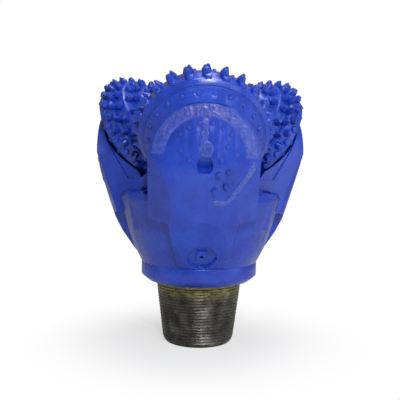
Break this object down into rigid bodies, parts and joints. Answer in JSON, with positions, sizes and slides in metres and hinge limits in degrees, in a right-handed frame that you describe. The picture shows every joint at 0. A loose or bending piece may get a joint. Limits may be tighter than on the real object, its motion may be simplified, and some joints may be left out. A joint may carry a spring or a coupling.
{
  "type": "tricone drill bit",
  "caption": "Roller-cone rock bit with three insert-studded cones on sealed journals, jet nozzles between the legs and a tapered threaded pin.",
  "frame": {"origin": "centre of the pin's end face, where the water course opens", "axes": "+Z along the bit axis from the pin to the cones; -Y is the outward direction of leg 1; X is to the right seen from that side"},
  "size_m": [0.4362, 0.4108, 0.5611],
  "materials": {
    "threaded_pin": "bare machined alloy steel, oiled",
    "shank": "gloss cobalt-blue enamel on turned steel",
    "leg": "gloss cobalt-blue enamel on forged steel",
    "leg_compacts": "blue enamel over tungsten carbide",
    "ball_plug": "blue enamel over weld",
    "reservoir_cap": "blue enamel on steel",
    "reservoir_snap_ring": "blue enamel on spring steel",
    "reservoir_canister": "zinc-plated steel",
    "reservoir_diaphragm": "nitrile rubber",
    "nozzle": "ground tungsten carbide",
    "nozzle_retainer": "blue enamel on steel",
    "nozzle_o_ring": "nitrile rubber",
    "cone": "gloss cobalt-blue enamel on forged steel",
    "gage_inserts": "blue enamel over tungsten carbide",
    "inner_inserts": "blue enamel over tungsten carbide",
    "heel_compacts": "blue enamel over tungsten carbide",
    "journal_bushing": "bored bronze alloy",
    "thrust_washer": "lapped bronze alloy",
    "pilot_bushing": "bored bronze alloy",
    "cone_seal": "hydrogenated nitrile rubber",
    "bearing_balls": "hardened bearing steel"
  },
  "bodies": {
    "bit_body": {"threaded_pin": "threaded_pin", "shank": "shank", "leg_1": "leg", "leg_compacts_1": "leg_compacts", "ball_plug_1": "ball_plug", "reservoir_cap_1": "reservoir_cap", "reservoir_snap_ring_1": "reservoir_snap_ring", "reservoir_canister_1": "reservoir_canister", "reservoir_diaphragm_1": "reservoir_diaphragm", "nozzle_1": "nozzle", "nozzle_retainer_1": "nozzle_retainer", "nozzle_o_ring_1": "nozzle_o_ring", "leg_2": "leg", "leg_compacts_2": "leg_compacts", "ball_plug_2": "ball_plug", "reservoir_cap_2": "reservoir_cap", "reservoir_snap_ring_2": "reservoir_snap_ring", "reservoir_canister_2": "reservoir_canister", "reservoir_diaphragm_2": "reservoir_diaphragm", "nozzle_2": "nozzle", "nozzle_retainer_2": "nozzle_retainer", "nozzle_o_ring_2": "nozzle_o_ring", "leg_3": "leg", "leg_compacts_3": "leg_compacts", "ball_plug_3": "ball_plug", "reservoir_cap_3": "reservoir_cap", "reservoir_snap_ring_3": "reservoir_snap_ring", "reservoir_canister_3": "reservoir_canister", "reservoir_diaphragm_3": "reservoir_diaphragm", "nozzle_3": "nozzle", "nozzle_retainer_3": "nozzle_retainer", "nozzle_o_ring_3": "nozzle_o_ring"},
    "cone_assembly_1": {"cone_1": "cone", "gage_inserts_1": "gage_inserts", "inner_inserts_1": "inner_inserts", "heel_compacts_1": "heel_compacts", "journal_bushing_1": "journal_bushing", "thrust_washer_1": "thrust_washer", "pilot_bushing_1": "pilot_bushing", "cone_seal_1": "cone_seal"},
    "ball_set_1": {"bearing_balls_1": "bearing_balls"},
    "cone_assembly_2": {"cone_2": "cone", "gage_inserts_2": "gage_inserts", "inner_inserts_2": "inner_inserts", "heel_compacts_2": "heel_compacts", "journal_bushing_2": "journal_bushing", "thrust_washer_2": "thrust_washer", "pilot_bushing_2": "pilot_bushing", "cone_seal_2": "cone_seal"},
    "ball_set_2": {"bearing_balls_2": "bearing_balls"},
    "cone_assembly_3": {"cone_3": "cone", "gage_inserts_3": "gage_inserts", "inner_inserts_3": "inner_inserts", "heel_compacts_3": "heel_compacts", "journal_bushing_3": "journal_bushing", "thrust_washer_3": "thrust_washer", "pilot_bushing_3": "pilot_bushing", "cone_seal_3": "cone_seal"},
    "ball_set_3": {"bearing_balls_3": "bearing_balls"}
  },
  "joints": [
    {"name": "cone_1_spin", "type": "hinge", "parent": "bit_body", "child": "cone_assembly_1", "pos_m": [0, -0.14536, 0.43], "axis": [0, 0.809, 0.5878], "continuous": true},
    {"name": "ball_set_1_roll", "type": "hinge", "parent": "bit_body", "child": "ball_set_1", "pos_m": [0, -0.14536, 0.43], "axis": [0, 0.809, 0.5878], "continuous": true},
    {"name": "cone_2_spin", "type": "hinge", "parent": "bit_body", "child": "cone_assembly_2", "pos_m": [0.12589, 0.07268, 0.43], "axis": [-0.7006, -0.4045, 0.5878], "continuous": true},
    {"name": "ball_set_2_roll", "type": "hinge", "parent": "bit_body", "child": "ball_set_2", "pos_m": [0.12589, 0.07268, 0.43], "axis": [-0.7006, -0.4045, 0.5878], "continuous": true},
    {"name": "cone_3_spin", "type": "hinge", "parent": "bit_body", "child": "cone_assembly_3", "pos_m": [-0.12589, 0.07268, 0.43], "axis": [0.7006, -0.4045, 0.5878], "continuous": true},
    {"name": "ball_set_3_roll", "type": "hinge", "parent": "bit_body", "child": "ball_set_3", "pos_m": [-0.12589, 0.07268, 0.43], "axis": [0.7006, -0.4045, 0.5878], "continuous": true}
  ],
  "couplings": [
    {"joint": "ball_set_1_roll", "follows": "cone_1_spin", "ratio": 0.6106},
    {"joint": "ball_set_2_roll", "follows": "cone_2_spin", "ratio": 0.6106},
    {"joint": "ball_set_3_roll", "follows": "cone_3_spin", "ratio": 0.6106}
  ]
}
